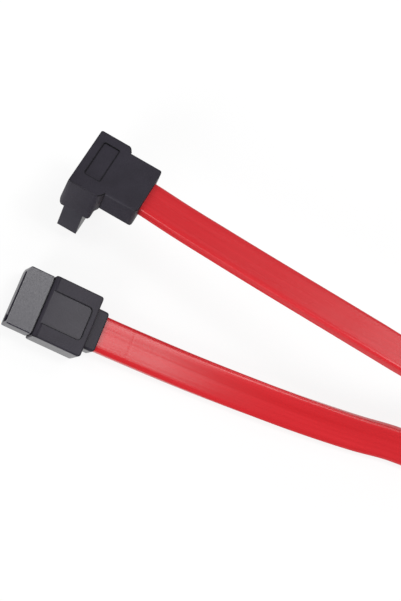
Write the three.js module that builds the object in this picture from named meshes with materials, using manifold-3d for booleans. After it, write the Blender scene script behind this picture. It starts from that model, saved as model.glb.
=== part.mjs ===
// Serial data cable: a straight plug and a right-angle plug joined by one flat ribbon. Millimetres, +Z up.
import * as THREE from "three";
import { mergeVertices } from "three/addons/utils/BufferGeometryUtils.js";
import Module from "manifold-3d";

// Mating nose, the same section on both plugs
const noseWidth = 12.8;
const noseHeight = 4.4;
const noseEdgeRadius = 0.25;
const noseCutAcross = 0.9;
const noseCutAlong = 0.35;
const noseCornerRadius = 0.42;
const straightNoseLength = 5.7;
const angleNoseLength = 8.3;

// L-shaped slot in the nose, under a thin roof
const slotWidth = 10.85;
const slotOffset = 0.275;
const slotHeight = 1.5;
const slotRoof = 0.55;
const slotDepth = 5.2;
const slotRadius = 0.15;
const slotLeadIn = 0.2;
const keyWidth = 1.5;
const keyDepth = 1.35;

// Tail of the housing, held inside the overmold
const tailLength = 3.2;
const tailInset = 0.4;
const tailRibLength = 0.9;
const tailRibHeight = 0.3;

// Seven contacts in their channels
const contactCount = 7;
const contactPitch = 1.27;
const contactWidth = 0.5;
const contactThickness = 0.2;
const contactBumpRise = 0.45;
const contactBumpRadius = 0.5;
const contactTipDrop = 0.55;
const contactTipGap = 0.6;
const contactTipLength = 1.1;
const contactRootGap = 0.2;
const contactBendRadius = 0.6;
const contactTailReach = 1.9;
const angleTailReach = 3.6;
const channelDepth = 1.2;
const channelLip = 0.5;
const channelBackGap = 0.4;
const channelBreak = 0.1;
const channelClearance = 0.14;

// Inner mould that seals the joints between contacts and cores
const sealWidth = 10.6;
const sealHeight = 3.2;
const sealLength = 3.6;
const sealRadius = 0.5;
const sealSlotHeight = 0.9;

// Straight overmold
const bodyWidth = 13.4;
const bodyHeight = 6.3;
const bodyLength = 10.75;
const bodyEdgeRadius = 0.4;
const bodyRearRadius = 0.9;
const bodyFrontSlope = 0.95;
const bodyFrontStep = 0.2;
const bodyShoulderRadius = 0.2;
const neckWidth = 8.95;
const neckHeight = 4.3;
const neckLength = 2.45;
const neckRadius = 0.7;
const neckRearRadius = 0.9;
const panelWidth = 7.1;
const panelRearMargin = 1.35;
const panelRadius = 0.9;
const panelDepth = 0.25;

// Right-angle overmold: a head over the nose and an arm along the cable
const headLength = 6.8;
const headWidth = 15.05;
const headHeight = 8.6;
const headLowerRadius = 1.2;
const headFlare = 0.5;
const headFrontRadius = 1.6;
const headCornerRadius = 0.9;
const headEdgeRadius = 0.35;
const armLength = 8.0;
const armWidth = 12.25;
const armHeight = 5.4;
const armCornerRadius = 1.2;
const armEdgeRadius = 0.6;
const armFillet = 0.7;
const cableDrop = 2.75;
const noseSetback = 0.8;
const labelWidth = 9.2;
const labelLength = 3.5;
const labelOffset = 0.5;
const labelMargin = 1.85;
const labelRadius = 0.35;
const labelDepth = 0.2;

// Flat ribbon
const ribbonWidth = 7.6;
const ribbonThickness = 2.6;
const ribbonRadius = 0.65;
const ribbonInset = 2.6;
const ribbonSteps = 80;
const coreDiameter = 0.5;
const coreFan = 0.74;
const coreRoot = 1;
const coreSides = 8;

// Gap between pieces that touch, and how far a cut runs on past the face that it opens
const clearance = 0.3;
const overcut = 1;

// How each plug lies on the surface: place, yaw, pitch and roll in degrees
const straightPose = { x: -9.022, y: -14.299, yaw: -179, pitch: 4.5, roll: -3.1 };
const anglePose = { x: -8.89, y: 14.549, yaw: -7.7, pitch: 9.9, roll: -16.1 };

// The ribbon's way from the right-angle plug to its loop: x, y, z and the roll of its face in degrees
const angleStrand = [
  [14.0, 10.23, 18.6, -15.5],
  [22.4, 8.81, 20.0, -14.5],
  [31.1, 7.36, 21.5, -13.5],
  [39.9, 5.92, 23.1, -13],
  [48.8, 4.5, 24.7, -12.5],
  [57.8, 3.09, 26.2, -12.5],
  [67.0, 1.95, 27.1, -14],
  [76.0, 2.15, 27.0, -21],
  [84.5, 4.4, 25.7, -34],
  [92.5, 8.6, 23.4, -50],
  [100.5, 14.4, 20.3, -65],
  [108.5, 21.1, 16.9, -77],
  [116.3, 27.6, 13.5, -85],
];

// The loop, where the ribbon stands on its edge and comes down to the floor, from first bearing to last
const loopX = 143.5;
const loopY = -3;
const loopRadius = 41;
const loopHeight = 3.9;
const loopRise = 6.6;
const loopRiseStations = 4;
const loopRoll = -90;
const loopFirst = 118;
const loopLast = -122;
const loopStations = 11;

// Its way from the loop to the straight plug
const straightStrand = [
  [108.9, -23.4, 3.9, -87],
  [103.9, -16.5, 3.92, -79],
  [97.2, -11.4, 3.9, -69],
  [89, -8.7, 3.72, -54],
  [79, -8.4, 3.3, -38],
  [69, -9.8, 2.87, -29],
  [57, -11.1, 2.48, -20],
  [45, -12.05, 2.14, -12],
  [33, -12.8, 1.92, -7],
  [23, -13.3, 2.1, -4],
];

const noseFloor = noseHeight / 2 - slotRoof - slotHeight;
const contactLine = noseFloor - channelDepth + channelClearance + contactThickness / 2;

const X = new THREE.Vector3(1, 0, 0);
const Y = new THREE.Vector3(0, 1, 0);
const Z = new THREE.Vector3(0, 0, 1);

const plastic = (color, roughness) => new THREE.MeshStandardMaterial({ color, roughness, metalness: 0 });
const overmoldMaterial = () => plastic("#45434c", 0.72);
const housingMaterial = () => plastic("#5b5962", 0.48);
const sealMaterial = () => plastic("#cfccc4", 0.6);
const ribbonMaterial = () => plastic("#d3202c", 0.42);
const contactMaterial = () => new THREE.MeshStandardMaterial({ color: "#c9a24a", roughness: 0.3, metalness: 1 });

const wasm = await Module();
wasm.setup();

// A closed three.js geometry as a solid that can be joined and cut.
function solid(geometry) {
  const bare = geometry.clone();
  bare.deleteAttribute("normal");
  bare.deleteAttribute("uv");
  const merged = mergeVertices(bare, 1e-4);
  const triVerts = new Uint32Array(merged.index.array);
  const vertProperties = merged.attributes.position.array;
  return new wasm.Manifold(new wasm.Mesh({ numProp: 3, vertProperties, triVerts }));
}

function geometryOf(body) {
  const mesh = body.getMesh();
  const geometry = new THREE.BufferGeometry();
  geometry.setAttribute("position", new THREE.BufferAttribute(mesh.vertProperties, 3));
  geometry.setIndex(new THREE.BufferAttribute(mesh.triVerts, 1));
  geometry.computeVertexNormals();
  return geometry;
}

function piece(name, body, material) {
  const mesh = new THREE.Mesh(geometryOf(body), material);
  mesh.name = name;
  return mesh;
}

// Prisms: a flat outline drawn out along one axis, from one place on that axis to another.
function prism(outline, start, end, basis, fineness = 4) {
  const geometry = new THREE.ExtrudeGeometry(outline, {
    depth: end - start,
    bevelEnabled: false,
    curveSegments: fineness,
  });
  return solid(geometry.translate(0, 0, start).applyMatrix4(basis));
}

const alongXBasis = new THREE.Matrix4().makeBasis(Y, Z, X);
const alongYBasis = new THREE.Matrix4().makeBasis(Z, X, Y);
const alongX = (outline, start, end, fineness) => prism(outline, start, end, alongXBasis, fineness);
const alongY = (outline, start, end, fineness) => prism(outline, start, end, alongYBasis, fineness);
const alongZ = (outline, start, end, fineness) => prism(outline, start, end, new THREE.Matrix4(), fineness);

// An outline through corners, each given as [u, v, radius] with the radius left out on a sharp one.
function roundedOutline(corners) {
  const shape = new THREE.Shape();
  corners.forEach(([u, v, radius = 0], i) => {
    const corner = new THREE.Vector2(u, v);
    const [before, after] = [-1, 1].map((step) => {
      const [nextU, nextV] = corners[(i + step + corners.length) % corners.length];
      return new THREE.Vector2(nextU, nextV).sub(corner).setLength(radius).add(corner);
    });
    if (i === 0) shape.moveTo(before.x, before.y);
    else shape.lineTo(before.x, before.y);
    if (radius > 0) shape.quadraticCurveTo(u, v, after.x, after.y);
  });
  shape.closePath();
  return shape;
}

function rectangle(uMin, uMax, vMin, vMax, radius = 0) {
  return roundedOutline([
    [uMin, vMin, radius],
    [uMax, vMin, radius],
    [uMax, vMax, radius],
    [uMin, vMax, radius],
  ]);
}

const centred = (width, height, radius) =>
  rectangle(-width / 2, width / 2, -height / 2, height / 2, radius);

// A strip of even thickness bent along a flat path, as an outline.
function stripOutline(path, thickness, divisions = 4) {
  const points = path.getPoints(divisions).filter((p, i, all) => i === 0 || p.distanceTo(all[i - 1]) > 1e-3);
  const sideOf = (a, b) => new THREE.Vector2(a.y - b.y, b.x - a.x).normalize();
  const left = [];
  const right = [];
  points.forEach((point, i) => {
    const before = sideOf(points[Math.max(i - 1, 0)], points[Math.max(i, 1)]);
    const after = sideOf(points[Math.min(i, points.length - 2)], points[Math.min(i + 1, points.length - 1)]);
    const side = before.clone().add(after).normalize();
    const reach = thickness / 2 / side.dot(before);
    left.push(point.clone().addScaledVector(side, reach));
    right.unshift(point.clone().addScaledVector(side, -reach));
  });
  return new THREE.Shape([...left, ...right]);
}

// Where each contact lies across the nose: the row is centred on the slot's floor, beside the key.
const contactPlaces = Array.from(
  { length: contactCount },
  (_, i) => slotOffset - keyWidth / 2 + (i - (contactCount - 1) / 2) * contactPitch,
);

// Housing, in the nose's own frame: mouth at x = 0 facing +X, the slot's key on the +Y side, its roof up.
function housing(noseLength) {
  const half = noseWidth / 2;
  const back = -noseLength + clearance;
  const plan = roundedOutline([
    [back, -half],
    [-noseCutAlong, -half, noseCornerRadius],
    [0, -half + noseCutAcross, noseCornerRadius],
    [0, half, noseCornerRadius],
    [back, half],
  ]);
  const nose = alongX(centred(noseWidth, noseHeight, noseEdgeRadius), back, 0).intersect(
    alongZ(plan, -noseHeight, noseHeight),
  );
  const body = nose.add(housingTail(noseLength, 0)).subtract(slot()).subtract(slotMouth());
  return contactPlaces.reduce((rest, y) => rest.subtract(channel(y, noseLength + tailLength)), body);
}

// Tail of the housing with its retaining rib all round, grown by a clearance where the overmold takes it in.
function housingTail(noseLength, grow) {
  const width = noseWidth - 2 * tailInset + 2 * grow;
  const height = noseHeight - 2 * tailInset + 2 * grow;
  const end = -noseLength - tailLength - grow;
  const ribStart = -noseLength - tailLength / 2 - tailRibLength / 2 - grow;
  const ribEnd = ribStart + tailRibLength + 2 * grow;
  const block = alongX(centred(width, height, noseEdgeRadius), end, -noseLength + 2 * clearance);
  const rib = alongX(
    centred(width + 2 * tailRibHeight, height + 2 * tailRibHeight, noseEdgeRadius),
    ribStart,
    ribEnd,
  );
  return block.add(rib);
}

// L-shaped slot: the long leg lies under the roof, the key drops beside the contacts.
function slotOutline() {
  const roof = noseHeight / 2 - slotRoof;
  const near = slotOffset + slotWidth / 2;
  const far = near - slotWidth;
  return roundedOutline([
    [far, noseFloor, slotRadius],
    [near - keyWidth, noseFloor],
    [near - keyWidth, noseFloor - keyDepth, slotRadius],
    [near, noseFloor - keyDepth, slotRadius],
    [near, roof, slotRadius],
    [far, roof, slotRadius],
  ]);
}

const slot = () => alongX(slotOutline(), -slotDepth, overcut, 2);

// Bevelled lead-in round the slot's mouth.
function slotMouth() {
  const flare = new THREE.ExtrudeGeometry(slotOutline(), {
    depth: overcut,
    bevelSize: slotLeadIn,
    bevelThickness: slotLeadIn,
    bevelSegments: 1,
    curveSegments: 2,
  });
  return solid(flare.applyMatrix4(alongXBasis));
}

// Channel of one contact: open to the slot over the spring, then a tunnel for the tail.
function channel(y, housingLength) {
  const halfWidth = contactWidth / 2 + channelClearance;
  const bottom = noseFloor - channelDepth;
  const tunnelTop = contactLine + contactThickness / 2 + channelClearance;
  const spring = rectangle(y - halfWidth, y + halfWidth, bottom, noseFloor + channelBreak);
  const tunnel = rectangle(y - halfWidth, y + halfWidth, bottom, tunnelTop);
  return alongX(spring, -slotDepth - channelBackGap, -channelLip).add(
    alongX(tunnel, -housingLength - overcut, -channelLip - contactTipGap),
  );
}

// Path of a contact from its tip over the bump to its tail, seen from the side as [z, x].
function contactPath(tailEnd) {
  const bump = noseFloor + contactBumpRise;
  const tip = -channelLip - contactTipGap;
  const bumpX = tip - contactTipLength;
  const root = -slotDepth + contactRootGap;
  const shoulder = bump - contactBumpRadius / 6;
  return new THREE.Path()
    .moveTo(bump - contactTipDrop, tip)
    .lineTo(shoulder, bumpX + contactBumpRadius)
    .quadraticCurveTo(2 * bump - shoulder, bumpX, shoulder, bumpX - contactBumpRadius)
    .lineTo(contactLine, root)
    .lineTo(contactLine, tailEnd);
}

function straightContact(y) {
  const path = contactPath(straightTailEnd);
  return alongY(stripOutline(path, contactThickness), y - contactWidth / 2, y + contactWidth / 2);
}

// The right-angle plug's contact turns at the ribbon's height and runs on along the arm.
function angleContact(y) {
  const turn = -angleNoseLength - headHeight + cableDrop;
  const path = contactPath(turn + contactBendRadius)
    .quadraticCurveTo(contactLine, turn, contactLine - contactBendRadius, turn)
    .lineTo(contactLine - angleTailReach, turn);
  return alongY(stripOutline(path, contactThickness), y - contactWidth / 2, y + contactWidth / 2);
}

// Straight plug, in the nose's frame.
const straightRear = -straightNoseLength - bodyLength;
const neckRear = straightRear - neckLength;
const sealFront = -straightNoseLength - tailLength - clearance;
const sealRear = sealFront - sealLength;
const straightTailEnd = -straightNoseLength - tailLength - contactTailReach;

function straightBody() {
  const front = noseHeight / 2 + bodyFrontStep;
  const shoulder = -straightNoseLength - bodyFrontSlope;
  const side = roundedOutline([
    [front, -straightNoseLength],
    [-front, -straightNoseLength],
    [-bodyHeight / 2, shoulder, bodyShoulderRadius],
    [-bodyHeight / 2, straightRear, bodyEdgeRadius],
    [bodyHeight / 2, straightRear, bodyEdgeRadius],
    [bodyHeight / 2, shoulder, bodyShoulderRadius],
  ]);
  const plan = roundedOutline([
    [-straightNoseLength, -bodyWidth / 2, bodyEdgeRadius],
    [-straightNoseLength, bodyWidth / 2, bodyEdgeRadius],
    [straightRear, bodyWidth / 2, bodyRearRadius],
    [straightRear, -bodyWidth / 2, bodyRearRadius],
  ]);
  return alongX(centred(bodyWidth, bodyHeight, bodyEdgeRadius), straightRear, -straightNoseLength)
    .intersect(alongY(side, -bodyWidth, bodyWidth))
    .intersect(alongZ(plan, -bodyHeight, bodyHeight));
}

function straightNeck() {
  const front = straightRear + bodyEdgeRadius;
  const plan = roundedOutline([
    [neckRear, -neckWidth / 2, neckRearRadius],
    [front, -neckWidth / 2],
    [front, neckWidth / 2],
    [neckRear, neckWidth / 2, neckRearRadius],
  ]);
  return alongX(centred(neckWidth, neckHeight, neckRadius), neckRear, front).intersect(
    alongZ(plan, -neckHeight, neckHeight),
  );
}

// Shallow panel in the top, open towards the front slope.
function straightPanel() {
  const rear = straightRear + panelRearMargin;
  const outline = roundedOutline([
    [rear, -panelWidth / 2, panelRadius],
    [-straightNoseLength, -panelWidth / 2],
    [-straightNoseLength, panelWidth / 2],
    [rear, panelWidth / 2, panelRadius],
  ]);
  return alongZ(outline, bodyHeight / 2 - panelDepth, bodyHeight);
}

// Bore that takes the ribbon into a plug, along X.
function ribbonBore(start, end) {
  const width = ribbonWidth + 2 * clearance;
  const height = ribbonThickness + 2 * clearance;
  return alongX(centred(width, height, ribbonRadius), start, end);
}

function straightSealBlock(grow) {
  const section = centred(sealWidth + 2 * grow, sealHeight + 2 * grow, sealRadius);
  return alongX(section, sealRear - grow, sealFront + grow);
}

// Opening through an inner mould for the row of tails and cores, from its side outline.
function rowOpening(outline) {
  const reach = contactWidth / 2 + clearance;
  return alongY(outline, contactPlaces[0] - reach, contactPlaces[contactCount - 1] + reach);
}

function straightSeal() {
  const half = sealSlotHeight / 2;
  const opening = roundedOutline([
    [contactLine - half, sealFront + overcut],
    [contactLine - half, sealRear - overcut],
    [half, sealRear - overcut],
    [half, sealRear],
    [contactLine + half, straightTailEnd],
    [contactLine + half, sealFront + overcut],
  ]);
  return straightSealBlock(0).subtract(rowOpening(opening));
}

function straightOvermold() {
  return straightBody()
    .add(straightNeck())
    .subtract(straightPanel())
    .subtract(housingTail(straightNoseLength, clearance))
    .subtract(straightSealBlock(clearance))
    .subtract(ribbonBore(neckRear - overcut, sealRear));
}

// Right-angle plug: x along the arm, y across to the far side, top face at z = 0. Its nose points down.
const noseInHead = new THREE.Matrix4()
  .makeBasis(Z.clone().negate(), Y.clone().negate(), X.clone().negate())
  .setPosition(noseSetback + noseHeight / 2, 0, -headHeight - angleNoseLength);
const armEnd = headLength + armLength;
const angleJacketEnd = armEnd - ribbonInset;
const angleContactX = noseSetback + noseHeight / 2 - contactLine;
const angleTailEnd = angleContactX + angleTailReach;

const inHead = (body) => solid(geometryOf(body).applyMatrix4(noseInHead));

function angleBody() {
  const plan = roundedOutline([
    [-headFlare, -headWidth / 2, headFrontRadius],
    [headLength, -headWidth / 2, headCornerRadius],
    [headLength + armFillet, -armWidth / 2, armFillet / 2],
    [armEnd, -armWidth / 2, armCornerRadius],
    [armEnd, armWidth / 2, armCornerRadius],
    [headLength + armFillet, armWidth / 2, armFillet / 2],
    [headLength, headWidth / 2, headCornerRadius],
    [-headFlare, headWidth / 2, headFrontRadius],
  ]);
  const side = roundedOutline([
    [0, 0, headEdgeRadius],
    [0, armEnd, headEdgeRadius],
    [-armHeight, armEnd, headEdgeRadius],
    [-armHeight, headLength, armFillet],
    [-headHeight, headLength, headLowerRadius],
    [-headHeight, -headFlare, headLowerRadius],
  ]);
  const head = rectangle(-headWidth / 2, headWidth / 2, -headHeight, 0, headEdgeRadius);
  const arm = rectangle(-armWidth / 2, armWidth / 2, -armHeight, 0, armEdgeRadius);
  return alongX(head, -headFlare, headLength + armFillet)
    .add(alongX(arm, headLength, armEnd))
    .intersect(alongY(side, -headWidth, headWidth))
    .intersect(alongZ(plan, -headHeight, 0));
}

// Shallow label field across the head.
function angleLabel() {
  const [start, end] = [labelMargin, labelMargin + labelLength];
  const [near, far] = [labelOffset - labelWidth / 2, labelOffset + labelWidth / 2];
  return alongZ(rectangle(start, end, near, far, labelRadius), -labelDepth, overcut);
}

// The inner mould turns with the contacts: deep over the housing's tail, shallow along the arm.
function angleSealBlock(grow) {
  const top = -cableDrop + sealHeight / 2 + grow;
  const underArm = -cableDrop - sealHeight / 2 - grow;
  const bottom = -headHeight + tailLength + clearance - grow;
  const start = noseSetback + tailInset - grow;
  const turn = noseSetback + noseHeight - tailInset + grow;
  const end = angleJacketEnd - clearance + grow;
  const outline = roundedOutline([
    [bottom, start],
    [top, start, sealRadius],
    [top, end],
    [underArm, end],
    [underArm, turn],
    [bottom, turn],
  ]);
  return alongY(outline, -sealWidth / 2 - grow, sealWidth / 2 + grow);
}

function angleSeal() {
  const half = sealSlotHeight / 2;
  const outline = roundedOutline([
    [-headHeight, angleContactX - half],
    [-cableDrop + half, angleContactX - half],
    [-cableDrop + half, armEnd],
    [-cableDrop - half, armEnd],
    [-cableDrop - half, angleContactX + half],
    [-headHeight, angleContactX + half],
  ]);
  const reach = contactWidth / 2 + clearance;
  return angleSealBlock(0).subtract(
    alongY(outline, -contactPlaces[contactCount - 1] - reach, -contactPlaces[0] + reach),
  );
}

function angleOvermold() {
  return angleBody()
    .subtract(angleLabel())
    .subtract(inHead(housingTail(angleNoseLength, clearance)))
    .subtract(angleSealBlock(clearance))
    .subtract(ribbonBore(angleJacketEnd - 2 * clearance, armEnd + overcut).translate([0, 0, -cableDrop]));
}

// Plugs as groups of named pieces
function plug(prefix, pieces) {
  const group = new THREE.Group();
  group.add(
    piece(`${prefix}_overmold`, pieces.overmold, overmoldMaterial()),
    piece(`${prefix}_housing`, pieces.housing, housingMaterial()),
    piece(`${prefix}_inner_mold`, pieces.seal, sealMaterial()),
    ...pieces.contacts.map((body, i) => piece(`${prefix}_contact_${i + 1}`, body, contactMaterial())),
  );
  return group;
}

// Turns a plug as it lies and lowers it until its lowest point is on the floor.
function layDown(group, pose) {
  const { degToRad } = THREE.MathUtils;
  group.rotation.set(degToRad(pose.roll), -degToRad(pose.pitch), degToRad(pose.yaw), "ZYX");
  group.position.set(pose.x, pose.y, 0);
  group.position.z = -new THREE.Box3().setFromObject(group, true).min.z;
  group.updateMatrixWorld(true);
  return group;
}

const straightPlug = layDown(
  plug("straight", {
    overmold: straightOvermold(),
    housing: housing(straightNoseLength),
    seal: straightSeal(),
    contacts: contactPlaces.map(straightContact),
  }),
  straightPose,
);

const anglePlug = layDown(
  plug("angle", {
    overmold: angleOvermold(),
    housing: inHead(housing(angleNoseLength)),
    seal: angleSeal(),
    contacts: contactPlaces.map((y) => inHead(angleContact(y))),
  }),
  anglePose,
);

// Centreline of the ribbon that also carries the roll of its face about its own run.
class RibbonCurve extends THREE.CatmullRomCurve3 {
  constructor(stations) {
    super(stations.map((station) => station.point));
    this.rolls = stations.map((station) => station.roll);
  }

  rollAt(u) {
    const place = this.getUtoTmapping(u) * (this.rolls.length - 1);
    const i = Math.min(Math.floor(place), this.rolls.length - 2);
    return THREE.MathUtils.lerp(this.rolls[i], this.rolls[i + 1], place - i);
  }

  computeFrenetFrames(steps) {
    const frames = { tangents: [], normals: [], binormals: [] };
    for (let i = 0; i <= steps; i++) {
      const tangent = this.getTangentAt(i / steps);
      const side = Z.clone().cross(tangent).normalize().applyAxisAngle(tangent, this.rollAt(i / steps));
      frames.tangents.push(tangent);
      frames.normals.push(side);
      frames.binormals.push(tangent.clone().cross(side));
    }
    return frames;
  }
}

// Stations where the ribbon is held in a plug: its end inside, its exit and a straight start.
function heldStations(group, end, exit, drop) {
  const at = (x) => group.localToWorld(new THREE.Vector3(x, 0, drop));
  const up = Z.clone().transformDirection(group.matrixWorld);
  const run = X.clone().transformDirection(group.matrixWorld);
  const side = Z.clone().cross(run).normalize();
  const roll = Math.atan2(-up.dot(side), up.dot(run.clone().cross(side)));
  return [end, (end + exit) / 2, exit].map((x) => ({ point: at(x), roll }));
}

const freeStation = ([x, y, z, roll]) => ({
  point: new THREE.Vector3(x, y, z),
  roll: THREE.MathUtils.degToRad(roll),
});

const loopRoute = Array.from({ length: loopStations }, (_, i) => {
  const bearing = THREE.MathUtils.degToRad(
    THREE.MathUtils.lerp(loopFirst, loopLast, i / (loopStations - 1)),
  );
  return [
    loopX + loopRadius * Math.cos(bearing),
    loopY + loopRadius * Math.sin(bearing),
    loopHeight + loopRise * Math.max(0, 1 - i / loopRiseStations) ** 2,
    loopRoll,
  ];
});

// Stripped cores at one end of the ribbon, from inside its jacket to the contact tails, in the plug's frame.
function cores(plugMatrix, jacketEnd, jacketHeight, tails) {
  return tails.map((tail) => {
    const outward = Math.sign(tail.x - jacketEnd);
    const from = new THREE.Vector3(jacketEnd - outward * coreRoot, tail.y * coreFan, jacketHeight);
    const to = tail.clone().setX(tail.x - outward * clearance);
    const rod = new THREE.CylinderGeometry(coreDiameter / 2, coreDiameter / 2, from.distanceTo(to), coreSides);
    const turn = new THREE.Quaternion().setFromUnitVectors(Y, to.clone().sub(from).normalize());
    const middle = from.add(to).multiplyScalar(0.5);
    return solid(rod.applyQuaternion(turn).translate(middle.x, middle.y, middle.z).applyMatrix4(plugMatrix));
  });
}

function ribbon() {
  const straightEnd = sealRear - clearance;
  const stations = [
    ...heldStations(anglePlug, angleJacketEnd, armEnd, -cableDrop),
    ...[...angleStrand, ...loopRoute, ...straightStrand].map(freeStation),
    ...heldStations(straightPlug, straightEnd, neckRear, 0).reverse(),
  ];
  const jacket = new THREE.ExtrudeGeometry(centred(ribbonWidth, ribbonThickness, ribbonRadius), {
    steps: ribbonSteps,
    extrudePath: new RibbonCurve(stations),
    curveSegments: 2,
  });
  const straightTails = contactPlaces.map((y) => new THREE.Vector3(straightTailEnd, y, contactLine));
  const angleTails = contactPlaces.map((y) => new THREE.Vector3(angleTailEnd, -y, -cableDrop));
  const ends = [
    ...cores(straightPlug.matrixWorld, straightEnd, 0, straightTails),
    ...cores(anglePlug.matrixWorld, angleJacketEnd, -cableDrop, angleTails),
  ];
  return ends.reduce((rest, core) => rest.add(core), solid(jacket));
}

// The origin is the centre of the two plugs' box, on the floor.
const plugBox = new THREE.Box3().setFromObject(straightPlug, true).expandByObject(anglePlug, true);
const plugCentre = plugBox.getCenter(new THREE.Vector3());

const cable = new THREE.Group();
cable.add(straightPlug, anglePlug, piece("ribbon_cable", ribbon(), ribbonMaterial()));
cable.position.set(-plugCentre.x, -plugCentre.y, 0);

export default cable;
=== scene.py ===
"""Serial data cable: the looks of its two moulded plugs and its flat red ribbon."""

import math

import bmesh
import bpy
from mathutils import Matrix, Vector


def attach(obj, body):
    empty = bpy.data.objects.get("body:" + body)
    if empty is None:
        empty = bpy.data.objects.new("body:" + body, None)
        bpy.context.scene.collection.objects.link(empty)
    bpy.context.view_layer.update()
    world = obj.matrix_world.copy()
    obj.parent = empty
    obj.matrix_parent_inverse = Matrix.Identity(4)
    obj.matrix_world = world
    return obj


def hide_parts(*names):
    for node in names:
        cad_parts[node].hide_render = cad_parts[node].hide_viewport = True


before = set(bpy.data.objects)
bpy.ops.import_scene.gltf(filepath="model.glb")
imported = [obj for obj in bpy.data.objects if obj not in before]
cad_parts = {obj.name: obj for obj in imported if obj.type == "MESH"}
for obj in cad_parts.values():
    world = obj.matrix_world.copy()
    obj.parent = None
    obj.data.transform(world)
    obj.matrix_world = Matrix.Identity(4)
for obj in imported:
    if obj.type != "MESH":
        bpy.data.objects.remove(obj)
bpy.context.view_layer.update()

MM = 0.001

# The frame's origin lies this far, in metres, from the one that the places below are counted from
ORIGIN_X = 0.0000467
ORIGIN_Y = -0.0002339

# The plugs' own frames: place in millimetres, then yaw, pitch and roll in degrees
STRAIGHT_POSE = ((-9.022, -14.299, 4.735), -179, 4.5, -3.1)
ANGLE_POSE = ((-8.89, 14.549, 17.332), -7.7, 9.9, -16.1)

# Where each plug holds the ribbon, in its own frame and millimetres: inner end, middle and exit,
# and how far the ribbon's middle lies below the frame's
STRAIGHT_HOLD = (-13.1, -16.0, -18.9)
STRAIGHT_DROP = 0
ARM_HOLD = (12.2, 13.5, 14.8)
ARM_DROP = 2.75

# The ribbon's route from the right-angle plug to its loop and on to the straight plug: place in
# metres and roll in degrees
ANGLE_STRAND = [
    (0.0140, 0.01023, 0.0186, -15.5),
    (0.0224, 0.00881, 0.0200, -14.5),
    (0.0311, 0.00736, 0.0215, -13.5),
    (0.0399, 0.00592, 0.0231, -13),
    (0.0488, 0.00450, 0.0247, -12.5),
    (0.0578, 0.00309, 0.0262, -12.5),
    (0.0670, 0.00195, 0.0271, -14),
    (0.0760, 0.00215, 0.0270, -21),
    (0.0845, 0.00440, 0.0257, -34),
    (0.0925, 0.00860, 0.0234, -50),
    (0.1005, 0.01440, 0.0203, -65),
    (0.1085, 0.02110, 0.0169, -77),
    (0.1163, 0.02760, 0.0135, -85),
]
LOOP_X = 0.1435
LOOP_Y = -0.003
LOOP_RADIUS = 0.041
LOOP_HEIGHT = 0.0039
LOOP_RISE = 0.0066
LOOP_RISE_STATIONS = 4
LOOP_ROLL = -90
LOOP_FIRST = 118
LOOP_LAST = -122
LOOP_STATIONS = 11
STRAIGHT_STRAND = [
    (0.1089, -0.0234, 0.0039, -87),
    (0.1039, -0.0165, 0.00392, -79),
    (0.0972, -0.0114, 0.0039, -69),
    (0.0890, -0.0087, 0.00372, -54),
    (0.0790, -0.0084, 0.0033, -38),
    (0.0690, -0.0098, 0.00287, -29),
    (0.0570, -0.0111, 0.00248, -20),
    (0.0450, -0.01205, 0.00214, -12),
    (0.0330, -0.0128, 0.00192, -7),
    (0.0230, -0.0133, 0.0021, -4),
]

# Ribbon length and section: the shoulder is as wide as RIBBON_SHOULDER and as high as RIBBON_CORNER
RIBBON_WIDTH = 7.6 * MM
RIBBON_THICKNESS = 2.6 * MM
RIBBON_CORNER = 0.6 * MM
RIBBON_SHOULDER = 1.0 * MM
RIBBON_VALLEY = 0.025 * MM
RIBBON_VALLEY_WIDTH = 1.1 * MM
RIBBON_RING_STEP = 1.2 * MM
RIBBON_FACE_STEPS = 10
RIBBON_SHOULDER_STEPS = 6

# The faint crease, by its distance along the ribbon in metres
CREASE_PLACE = 0.4245
CREASE_HALF_WIDTH = 0.0006
CREASE_WANDER = 0.0006

# Moulded edges: how near points are welded and how thin a wall gets less of the radius, in
# millimetres, and from which angles an edge is no longer flat and is sharp
WELD = 0.002
THIN_WALL = 0.45
THIN_SHARE = 0.4
FLAT_ANGLE = math.radians(1)
SHARP_ANGLE = math.radians(40)
EDGE_SEGMENTS = 3

# Edge radii of the moulded pieces, in millimetres
STRAIGHT_EDGE = 0.16
ANGLE_EDGE = 0.2
HOUSING_EDGE = 0.1

# The bore's clearance round the ribbon and how near to its rim a point is, in millimetres
BORE_CLEARANCE = 0.3
AT_RIM = 0.02

# The straight overmold's finishes, the sides' one with its base colour painted lighter as a painted
# reflection, the height of its panel floor in millimetres, and how square a face stands to an axis to
# count as facing along it
PLAIN_FINISH = 0
SIDE_FINISH_PAINTED_LIGHT = 1
PANEL_FINISH = 2
PANEL_FLOOR = 2.9
SQUARE_ON = 0.9

# Camera: its place and aim in metres, its roll in degrees, and its lens and frame in millimetres
CAMERA_PLACE = Vector((-0.03901, -0.09275, 0.30317))
CAMERA_TARGET = Vector((0.02774, 0.00266, 0.0))
CAMERA_ROLL = -58.72
CAMERA_LENS = 91.87
FRAME_HEIGHT = 36.0

# The floor: how far it is plain white instead of lit, which leaves it a faint shadow, its tone
# where it is lit, and its reach and height in metres
FLOOR_WHITE = 0.85
FLOOR_TONE = 0.86
FLOOR_SIZE = 3
FLOOR_HEIGHT = -0.0001

# Studio light: the world's strength, and each softbox with its place, aim, width and power
WORLD_STRENGTH = 0.33
PLUGS = (0.02, 0, 0)
STRANDS = (0.05, 0, 0)
SOFTBOXES = [
    ("overhead_softbox", (0.325, 0.22, 0.9), PLUGS, 0.3, 2.8),
    ("top_softbox", (0.12, 0.14, 1.0), PLUGS, 0.2, 1.2),
    ("left_softbox", (-0.7, -0.1, 0.9), PLUGS, 0.6, 2.2),
    ("rear_softbox", (0.40, 0.88, 0.92), STRANDS, 0.6, 3.8),
    ("front_softbox", (-0.42, -0.75, 0.5), PLUGS, 0.5, 6.2),
]


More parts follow.
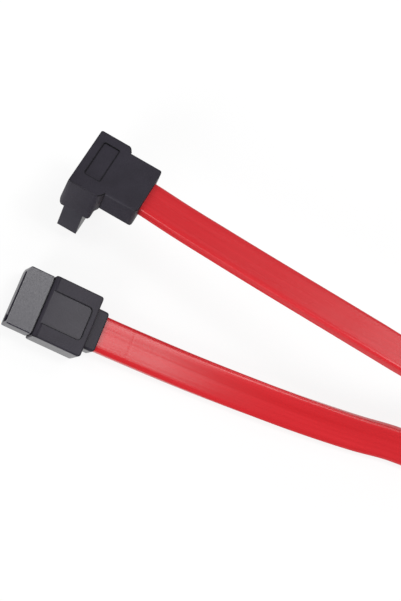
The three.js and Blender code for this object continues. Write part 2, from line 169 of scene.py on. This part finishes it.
def plug_frame(pose):
    """A plug's own frame in the part's: millimetres in, metres out."""
    place, yaw, pitch, roll = pose
    turn = (
        Matrix.Rotation(math.radians(yaw), 4, "Z")
        @ Matrix.Rotation(-math.radians(pitch), 4, "Y")
        @ Matrix.Rotation(math.radians(roll), 4, "X")
    )
    origin = Matrix.Translation((ORIGIN_X, ORIGIN_Y, 0))
    return origin @ Matrix.Scale(MM, 4) @ Matrix.Translation(place) @ turn


STRAIGHT_FRAME = plug_frame(STRAIGHT_POSE)
ANGLE_FRAME = plug_frame(ANGLE_POSE)


def link(name, mesh):
    piece = bpy.data.objects.new(name, mesh)
    bpy.context.scene.collection.objects.link(piece)
    return piece


# Materials

# A moulded edge's painted shade: its tone, its roughness, and how well its rounded and flat normals
# agree where it starts and where it is full
EDGE_PAINTED_SHADE = (0.001, 0.001, 0.0015, 1)
EDGE_ROUGHNESS = 0.95
EDGE_STARTS = 0.995
EDGE_FULL = 0.9

# Sockets of a colour mix node
MIX_FIRST = 6
MIX_SECOND = 7
MIX_RESULT = 2

# Where a noise has reached its darker and its lighter tone
TONE_STOPS = (0.3, 0.7)

# Moulded plastic: the size of its clouds, how far its roughness varies and how strong its grain is
CLOUD_SCALE = 260
ROUGHNESS_SPREAD = 0.06
GRAIN_STRENGTH = 0.6

# Stretch of the noises along and across the ribbon, and of the marks along a contact
STREAK_STRETCH = (14, 900, 1)
CLOUD_STRETCH = (60, 420, 1)
WANDER_STRETCH = (0, 300, 1)
MARK_STRETCH = (300, 4000, 4000)


class Shader:
    """A node material built up from one principled shader."""

    def __init__(self, name, **sockets):
        self.material = bpy.data.materials.new(name)
        self.material.use_nodes = True
        self.tree = self.material.node_tree
        self.principled = self.tree.nodes["Principled BSDF"]
        for socket, value in sockets.items():
            self.principled.inputs[socket.replace("_", " ")].default_value = value

    def add(self, kind, settings=None, **sockets):
        node = self.tree.nodes.new(kind)
        for key, value in (settings or {}).items():
            setattr(node, key, value)
        for socket, value in sockets.items():
            self.join(value, node.inputs[socket.replace("_", " ")])
        return node

    def join(self, value, socket):
        if isinstance(value, bpy.types.NodeSocket):
            self.tree.links.new(value, socket)
        else:
            socket.default_value = value

    def tones(self, value, dark, light):
        node = self.add("ShaderNodeValToRGB", Fac=value)
        for element, place, colour in zip(node.color_ramp.elements, TONE_STOPS, (dark, light)):
            element.position = place
            element.color = (*colour, 1)
        return node.outputs["Color"]

    def noise(self, vector, scale, detail=3.0):
        node = self.add("ShaderNodeTexNoise", Vector=vector, Scale=scale, Detail=detail)
        return node.outputs["Fac"]

    def stretched(self, vector, scale):
        node = self.add("ShaderNodeMapping", Vector=vector)
        node.inputs["Scale"].default_value = scale
        return node.outputs["Vector"]

    def bump(self, height, strength, distance, normal=None):
        node = self.add("ShaderNodeBump", Height=height, Strength=strength, Distance=distance)
        if normal is not None:
            self.join(normal, node.inputs["Normal"])
        return node.outputs["Normal"]

    def math(self, operation, first, second=0.0):
        node = self.add("ShaderNodeMath", {"operation": operation})
        self.join(first, node.inputs[0])
        self.join(second, node.inputs[1])
        return node.outputs["Value"]

    def remap(self, value, low, high):
        node = self.add("ShaderNodeMapRange", Value=value)
        node.inputs["To Min"].default_value = low
        node.inputs["To Max"].default_value = high
        return node.outputs["Result"]


def edge_shade_share(shader, width):
    """Share of painted shade: 1 on a sharp edge or in a sharp corner, falling to 0 at this distance
    from it.
    """
    rounded = shader.add("ShaderNodeBevel", {"samples": 8}, Radius=width).outputs["Normal"]
    flat = shader.add("ShaderNodeNewGeometry").outputs["Normal"]
    agreement = shader.add("ShaderNodeVectorMath", {"operation": "DOT_PRODUCT"})
    shader.join(rounded, agreement.inputs[0])
    shader.join(flat, agreement.inputs[1])
    share = shader.add("ShaderNodeMapRange", Value=agreement.outputs["Value"])
    share.inputs["From Min"].default_value = EDGE_STARTS
    share.inputs["From Max"].default_value = EDGE_FULL
    return share.outputs["Result"]


def moulded_material(name, dark, light, shine, roughness, grain, depth, edge_shade_width=None):
    """Moulded plastic with an even fine grain, slight clouds of tone and, if asked, painted shade on
    its edges.
    """
    shader = Shader(name, Specular_IOR_Level=shine)
    place = shader.add("ShaderNodeTexCoord").outputs["Object"]
    cloud = shader.noise(place, CLOUD_SCALE)
    grains = shader.noise(place, grain, 2.0)
    tone = shader.tones(cloud, dark, light)
    texture = shader.remap(grains, roughness - ROUGHNESS_SPREAD, roughness + ROUGHNESS_SPREAD)
    # Painted shade: edges and corners are mixed towards a near-black tone and made rough
    if edge_shade_width:
        share = edge_shade_share(shader, edge_shade_width)
        mix = shader.add("ShaderNodeMix", {"data_type": "RGBA"})
        shader.join(share, mix.inputs["Factor"])
        shader.join(tone, mix.inputs[MIX_FIRST])
        shader.join(EDGE_PAINTED_SHADE, mix.inputs[MIX_SECOND])
        tone = mix.outputs[MIX_RESULT]
        dull = shader.math("MULTIPLY", share, EDGE_ROUGHNESS)
        texture = shader.math("MAXIMUM", texture, dull)
    shader.join(tone, shader.principled.inputs["Base Color"])
    shader.join(texture, shader.principled.inputs["Roughness"])
    shader.join(shader.bump(grains, GRAIN_STRENGTH, depth), shader.principled.inputs["Normal"])
    return shader.material


def ribbon_material():
    """Soft red PVC with a satin skin and faint streaks left along it by extrusion."""
    shader = Shader("ribbon_pvc", Specular_IOR_Level=0.26)
    along = shader.add("ShaderNodeUVMap", {"uv_map": "run"}).outputs["UV"]
    streaks = shader.noise(shader.stretched(along, STREAK_STRETCH), 1.0, 4.0)
    cloud = shader.noise(shader.stretched(along, CLOUD_STRETCH), 1.0)
    tone = shader.tones(streaks, dark=(0.48, 0.011, 0.016), light=(0.555, 0.019, 0.026))
    shader.join(tone, shader.principled.inputs["Base Color"])
    shader.join(shader.remap(cloud, 0.2, 0.34), shader.principled.inputs["Roughness"])
    drawn = shader.bump(streaks, strength=0.4, distance=0.00007)
    creased = shader.bump(crease(shader, along), strength=0.2, distance=0.00008, normal=drawn)
    shader.join(creased, shader.principled.inputs["Normal"])
    return shader.material


def crease(shader, along):
    """Height of the faint crease across the ribbon, a little way out of the straight plug."""
    run = shader.add("ShaderNodeSeparateXYZ", Vector=along).outputs["X"]
    waves = shader.noise(shader.stretched(along, WANDER_STRETCH), 1.0)
    wander = shader.remap(waves, -CREASE_WANDER, CREASE_WANDER)
    place = shader.math("ADD", run, wander)
    away = shader.math("ABSOLUTE", shader.math("SUBTRACT", place, CREASE_PLACE))
    depth = shader.add("ShaderNodeMapRange", Value=away)
    depth.inputs["From Max"].default_value = CREASE_HALF_WIDTH
    return depth.outputs["Result"]


def contact_material():
    """Gold flash on spring alloy, with slight drawing marks."""
    shader = Shader("contact_gold", Metallic=1.0)
    place = shader.add("ShaderNodeTexCoord").outputs["Object"]
    marks = shader.noise(shader.stretched(place, MARK_STRETCH), 1.0)
    tone = shader.tones(marks, dark=(0.78, 0.55, 0.2), light=(0.88, 0.67, 0.3))
    shader.join(tone, shader.principled.inputs["Base Color"])
    shader.join(shader.remap(marks, 0.2, 0.34), shader.principled.inputs["Roughness"])
    return shader.material


# The overmolds' plastic, with painted shade on its edges and in its corners
OVERMOLD = moulded_material(
    "overmold_pvc",
    dark=(0.0175, 0.015, 0.0225),
    light=(0.0225, 0.0195, 0.029),
    shine=0.22,
    roughness=0.48,
    grain=4200,
    depth=0.00005,
    edge_shade_width=0.0005,
)
# Smooth side finish, with its base colour painted lighter as a painted reflection of the bright floor
SMOOTH_OVERMOLD_PAINTED_LIGHT = moulded_material(
    "overmold_pvc_smooth_painted_light",
    dark=(0.026, 0.023, 0.032),
    light=(0.032, 0.029, 0.038),
    shine=0.6,
    roughness=0.3,
    grain=4200,
    depth=0.000012,
)
PANEL_OVERMOLD = moulded_material(
    "overmold_pvc_panel",
    dark=(0.021, 0.018, 0.026),
    light=(0.026, 0.023, 0.032),
    shine=0.27,
    roughness=0.42,
    grain=4200,
    depth=0.00003,
)
# Painted shade: a near-black copy of the overmold's plastic for the faces of its rounded edges
OVERMOLD_PAINTED_EDGE_SHADE = moulded_material(
    "overmold_pvc_painted_edge_shade",
    dark=(0.006, 0.005, 0.008),
    light=(0.008, 0.007, 0.011),
    shine=0.1,
    roughness=0.5,
    grain=4200,
    depth=0.00002,
)
HOUSING = moulded_material(
    "housing_plastic",
    dark=(0.019, 0.0165, 0.026),
    light=(0.0245, 0.022, 0.033),
    shine=0.32,
    roughness=0.29,
    grain=2600,
    depth=0.000012,
)
# The right-angle plug's housing: a duller finish, and a darker copy of the housing's colour as
# painted shade
DULL_SHADED_HOUSING = moulded_material(
    "housing_plastic_dull_painted_shade",
    dark=(0.017, 0.015, 0.024),
    light=(0.022, 0.02, 0.03),
    shine=0.2,
    roughness=0.36,
    grain=2600,
    depth=0.000012,
)
INNER_MOLD = moulded_material(
    "inner_mold_plastic",
    dark=(0.5, 0.48, 0.43),
    light=(0.58, 0.56, 0.5),
    shine=0.3,
    roughness=0.55,
    grain=2600,
    depth=0.00002,
)
CONTACT = contact_material()
RIBBON = ribbon_material()


def finish_with(piece, material):
    piece.data.materials.clear()
    piece.data.materials.append(material)


# The ribbon


def held_stations(plug, pose, hold, drop):
    return [(*(plug @ Vector((x, 0, -drop))), pose[3]) for x in hold]


def loop_stations():
    loop = []
    for i in range(LOOP_STATIONS):
        bearing = math.radians(LOOP_FIRST + (LOOP_LAST - LOOP_FIRST) * i / (LOOP_STATIONS - 1))
        x = LOOP_X + LOOP_RADIUS * math.cos(bearing)
        y = LOOP_Y + LOOP_RADIUS * math.sin(bearing)
        rise = LOOP_RISE * max(0, 1 - i / LOOP_RISE_STATIONS) ** 2
        loop.append((x, y, LOOP_HEIGHT + rise, LOOP_ROLL))
    return loop


def ribbon_stations():
    free = [
        (x + ORIGIN_X, y + ORIGIN_Y, z, roll)
        for x, y, z, roll in ANGLE_STRAND + loop_stations() + STRAIGHT_STRAND
    ]
    first = held_stations(ANGLE_FRAME, ANGLE_POSE, ARM_HOLD, ARM_DROP)
    last = held_stations(STRAIGHT_FRAME, STRAIGHT_POSE, STRAIGHT_HOLD, STRAIGHT_DROP)
    return first + free + last[::-1]


def smooth_route(stations, divisions=14):
    """Centripetal Catmull-Rom curve through the stations, with an even roll between them."""
    points = [Vector(s[:3]) for s in stations]
    points = [2 * points[0] - points[1]] + points + [2 * points[-1] - points[-2]]
    fine = []
    for i in range(1, len(points) - 2):
        p0, p1, p2, p3 = points[i - 1 : i + 3]
        t0 = 0.0
        t1 = t0 + (p1 - p0).length ** 0.5
        t2 = t1 + (p2 - p1).length ** 0.5
        t3 = t2 + (p3 - p2).length ** 0.5
        for k in range(divisions):
            t = t1 + (t2 - t1) * k / divisions
            a1 = (p0 * (t1 - t) + p1 * (t - t0)) / (t1 - t0)
            a2 = (p1 * (t2 - t) + p2 * (t - t1)) / (t2 - t1)
            a3 = (p2 * (t3 - t) + p3 * (t - t2)) / (t3 - t2)
            b1 = (a1 * (t2 - t) + a2 * (t - t0)) / (t2 - t0)
            b2 = (a2 * (t3 - t) + a3 * (t - t1)) / (t3 - t1)
            place = (b1 * (t2 - t) + b2 * (t - t1)) / (t2 - t1)
            roll = stations[i - 1][3] + (stations[i][3] - stations[i - 1][3]) * k / divisions
            fine.append((place, roll))
    fine.append((Vector(stations[-1][:3]), stations[-1][3]))
    return fine


def evenly_spaced(route, step):
    """Rings along the route: place, run direction, roll and distance from its start."""
    reach = [0.0]
    for (a, _), (b, _) in zip(route, route[1:]):
        reach.append(reach[-1] + (b - a).length)
    count = round(reach[-1] / step)
    rings = []
    i = 0
    for k in range(count + 1):
        goal = reach[-1] * k / count
        while i < len(route) - 2 and reach[i + 1] < goal:
            i += 1
        share = (goal - reach[i]) / (reach[i + 1] - reach[i])
        place = route[i][0].lerp(route[i + 1][0], share)
        roll = route[i][1] + (route[i + 1][1] - route[i][1]) * share
        rings.append((place, roll, goal))
    runs = []
    for k in range(len(rings)):
        before = rings[max(k - 1, 0)][0]
        after = rings[min(k + 1, len(rings) - 1)][0]
        runs.append((after - before).normalized())
    return [(place, run, roll, goal) for (place, roll, goal), run in zip(rings, runs)]


def ribbon_section():
    """Outline across the ribbon: flat faces, a faint valley between the pairs, and full shoulders."""
    flat = RIBBON_WIDTH / 2 - RIBBON_SHOULDER
    side = RIBBON_THICKNESS / 2 - RIBBON_CORNER
    top = []
    for i in range(RIBBON_FACE_STEPS + 1):
        y = flat - 2 * flat * i / RIBBON_FACE_STEPS
        dip = RIBBON_VALLEY * math.exp(-((y / RIBBON_VALLEY_WIDTH) ** 2))
        top.append((y, RIBBON_THICKNESS / 2 - dip))
    shoulder = []
    for i in range(1, RIBBON_SHOULDER_STEPS):
        turn = math.radians(90 + 90 * i / RIBBON_SHOULDER_STEPS)
        y = -flat + RIBBON_SHOULDER * math.cos(turn)
        shoulder.append((y, side + RIBBON_CORNER * math.sin(turn)))
    upper_left = shoulder + [(-RIBBON_WIDTH / 2, side)]
    lower_left = [(y, -z) for y, z in reversed(upper_left)]
    bottom = [(y, -z) for y, z in reversed(top)]
    lower_right = [(-y, z) for y, z in reversed(lower_left)]
    upper_right = [(-y, z) for y, z in reversed(upper_left)]
    left_middle = [(-RIBBON_WIDTH / 2, 0)]
    right_middle = [(RIBBON_WIDTH / 2, 0)]
    left = upper_left + left_middle + lower_left
    right = lower_right + right_middle + upper_right
    return top + left + bottom + right


def build_ribbon():
    rings = evenly_spaced(smooth_route(ribbon_stations()), RIBBON_RING_STEP)
    section = ribbon_section()
    bm = bmesh.new()
    run_map = bm.loops.layers.uv.new("run")
    rows = []
    for place, run, roll, _ in rings:
        side = Vector((0, 0, 1)).cross(run).normalized()
        side = Matrix.Rotation(math.radians(roll), 3, run) @ side
        up = run.cross(side)
        rows.append([bm.verts.new(place + side * y + up * z) for y, z in section])
    around = [0.0]
    for (ay, az), (by, bz) in zip(section, section[1:] + section[:1]):
        around.append(around[-1] + math.hypot(by - ay, bz - az))
    count = len(section)
    for k in range(len(rows) - 1):
        near, far = rings[k][3], rings[k + 1][3]
        for i in range(count):
            j = (i + 1) % count
            face = bm.faces.new((rows[k][i], rows[k][j], rows[k + 1][j], rows[k + 1][i]))
            face.smooth = True
            low, high = around[i], around[i + 1]
            corners = [(near, low), (near, high), (far, high), (far, low)]
            for loop, uv in zip(face.loops, corners):
                loop[run_map].uv = uv
    bm.faces.new(reversed(rows[0]))
    bm.faces.new(rows[-1])
    bmesh.ops.recalc_face_normals(bm, faces=bm.faces)
    mesh = bpy.data.meshes.new("ribbon")
    bm.to_mesh(mesh)
    bm.free()
    piece = link("ribbon", mesh)
    finish_with(piece, RIBBON)
    return piece, [tuple(place) for place, *_ in rings]


ribbon, ribbon_path = build_ribbon()
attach(ribbon, "root")
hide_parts("ribbon_cable")


# The moulded pieces: the frame's own outlines with the small edge radii of a mould


def weigh_edges(bm):
    """Gives each sharp edge its share of the mould's edge radius, less beside a thin wall."""
    weight = bm.edges.layers.float.new("bevel_weight_edge")
    for edge in bm.edges:
        if edge.calc_face_angle(0) > SHARP_ANGLE:
            thinnest = min(face.calc_area() for face in edge.link_faces) / edge.calc_length()
            edge[weight] = 1 if thinnest > THIN_WALL else THIN_SHARE


def fine_copy(node, plug, edge_radius, materials, adjust=None, finish=None):
    """Replaces a node by its outline with rounded edges, which have the last of the materials; on the
    overmolds that is a painted edge shade.
    """
    bm = bmesh.new()
    bm.from_mesh(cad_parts[node].data)
    bmesh.ops.remove_doubles(bm, verts=bm.verts, dist=WELD * MM)
    bmesh.ops.dissolve_limit(bm, angle_limit=FLAT_ANGLE, verts=bm.verts, edges=bm.edges)
    bmesh.ops.transform(bm, matrix=plug.inverted(), verts=bm.verts)
    bm.normal_update()
    if adjust:
        adjust(bm)
    for face in bm.faces:
        face.smooth = True
        face.material_index = finish(face) if finish else PLAIN_FINISH
    weigh_edges(bm)
    bmesh.ops.transform(bm, matrix=plug, verts=bm.verts)
    mesh = bpy.data.meshes.new(f"{node}_fine")
    bm.to_mesh(mesh)
    bm.free()
    for material in materials:
        mesh.materials.append(material)
    piece = link(f"{node}_fine", mesh)
    bevel = piece.modifiers.new("edges", "BEVEL")
    bevel.width = edge_radius * MM
    bevel.segments = EDGE_SEGMENTS
    bevel.limit_method = "WEIGHT"
    bevel.use_clamp_overlap = True
    # The rounded edges take the last material, which on the overmolds is the painted edge shade
    bevel.material = len(materials) - 1
    flats = piece.modifiers.new("flats", "WEIGHTED_NORMAL")
    flats.keep_sharp = True
    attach(piece, "root")
    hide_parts(node)


def snug_bore(end, drop):
    """Draws the rim of the cable's bore in until it grips the ribbon."""

    def adjust(bm):
        half_width = RIBBON_WIDTH / MM / 2
        half_height = RIBBON_THICKNESS / MM / 2
        for vert in bm.verts:
            y, z = vert.co.y, vert.co.z + drop
            across = abs(y) < half_width + BORE_CLEARANCE + AT_RIM
            upright = abs(z) < half_height + BORE_CLEARANCE + AT_RIM
            if abs(vert.co.x - end) < AT_RIM and across and upright:
                vert.co.y = y * half_width / (half_width + BORE_CLEARANCE)
                vert.co.z = z * half_height / (half_height + BORE_CLEARANCE) - drop

    return adjust


def straight_face_material(face):
    """Which finish a face of the straight overmold has; the sides' finish also carries a painted
    reflection.
    """
    if abs(face.normal.y) > SQUARE_ON:
        return SIDE_FINISH_PAINTED_LIGHT
    on_floor = abs(face.calc_center_median().z - PANEL_FLOOR) < AT_RIM
    return PANEL_FINISH if face.normal.z > SQUARE_ON and on_floor else PLAIN_FINISH


straight_bore = snug_bore(STRAIGHT_HOLD[2], STRAIGHT_DROP)
arm_bore = snug_bore(ARM_HOLD[2], ARM_DROP)
straight_materials = (OVERMOLD, SMOOTH_OVERMOLD_PAINTED_LIGHT, PANEL_OVERMOLD, OVERMOLD_PAINTED_EDGE_SHADE)
angle_materials = (OVERMOLD, OVERMOLD_PAINTED_EDGE_SHADE)
fine_copy(
    "straight_overmold",
    STRAIGHT_FRAME,
    STRAIGHT_EDGE,
    straight_materials,
    straight_bore,
    straight_face_material,
)
fine_copy("angle_overmold", ANGLE_FRAME, ANGLE_EDGE, angle_materials, arm_bore)
fine_copy("straight_housing", STRAIGHT_FRAME, HOUSING_EDGE, (HOUSING,))
fine_copy("angle_housing", ANGLE_FRAME, HOUSING_EDGE, (DULL_SHADED_HOUSING,))

for name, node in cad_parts.items():
    if "contact" in name:
        finish_with(node, CONTACT)
    elif "inner_mold" in name:
        finish_with(node, INNER_MOLD)


# Floor, light and camera


def build_floor():
    bm = bmesh.new()
    bmesh.ops.create_grid(bm, x_segments=1, y_segments=1, size=FLOOR_SIZE)
    mesh = bpy.data.meshes.new("floor")
    bm.to_mesh(mesh)
    bm.free()
    floor = link("floor", mesh)
    floor.location.z = FLOOR_HEIGHT
    shader = Shader("floor_white", Roughness=0.9)
    tone = (FLOOR_TONE, FLOOR_TONE, FLOOR_TONE, 1)
    shader.principled.inputs["Base Color"].default_value = tone
    light_path = shader.add("ShaderNodeLightPath")
    glow = shader.add("ShaderNodeEmission", Color=(1, 1, 1, 1), Strength=1.0)
    seen = light_path.outputs["Is Camera Ray"]
    for ray in ("Is Glossy Ray", "Is Transmission Ray"):
        seen = shader.math("MAXIMUM", seen, light_path.outputs[ray])
    mix = shader.add("ShaderNodeMixShader", Fac=shader.math("MULTIPLY", seen, FLOOR_WHITE))
    shader.join(shader.principled.outputs["BSDF"], mix.inputs[1])
    shader.join(glow.outputs["Emission"], mix.inputs[2])
    shader.join(mix.outputs["Shader"], shader.tree.nodes["Material Output"].inputs["Surface"])
    finish_with(floor, shader.material)


def area_lamp(name, place, aim, size, power):
    lamp = bpy.data.lights.new(name, "AREA")
    lamp.shape = "DISK"
    lamp.size = size
    lamp.energy = power
    holder = bpy.data.objects.new(name, lamp)
    bpy.context.scene.collection.objects.link(holder)
    holder.location = place
    holder.rotation_euler = (Vector(aim) - Vector(place)).to_track_quat("-Z", "Y").to_euler()


def build_light():
    world = bpy.data.worlds.new("studio")
    world.use_nodes = True
    background = world.node_tree.nodes["Background"]
    background.inputs["Color"].default_value = (1, 1, 1, 1)
    background.inputs["Strength"].default_value = WORLD_STRENGTH
    bpy.context.scene.world = world
    for name, place, aim, size, power in SOFTBOXES:
        area_lamp(name, place, aim, size, power)


def build_camera():
    camera = bpy.data.cameras.new("camera")
    camera.sensor_fit = "VERTICAL"
    camera.sensor_height = FRAME_HEIGHT
    camera.lens = CAMERA_LENS
    camera.clip_start = 0.01
    holder = bpy.data.objects.new("camera", camera)
    bpy.context.scene.collection.objects.link(holder)
    forward = (CAMERA_TARGET - CAMERA_PLACE).normalized()
    upright = (Vector((0, 0, 1)) - forward.z * forward).normalized()
    sideways = forward.cross(upright)
    roll = math.radians(CAMERA_ROLL)
    up = upright * math.cos(roll) + sideways * math.sin(roll)
    right = forward.cross(up)
    turn = Matrix((right, up, -forward)).transposed().to_4x4()
    holder.matrix_world = Matrix.Translation(CAMERA_PLACE) @ turn
    bpy.context.scene.camera = holder


build_floor()
build_light()
build_camera()
bpy.context.scene.view_settings.view_transform = "Standard"
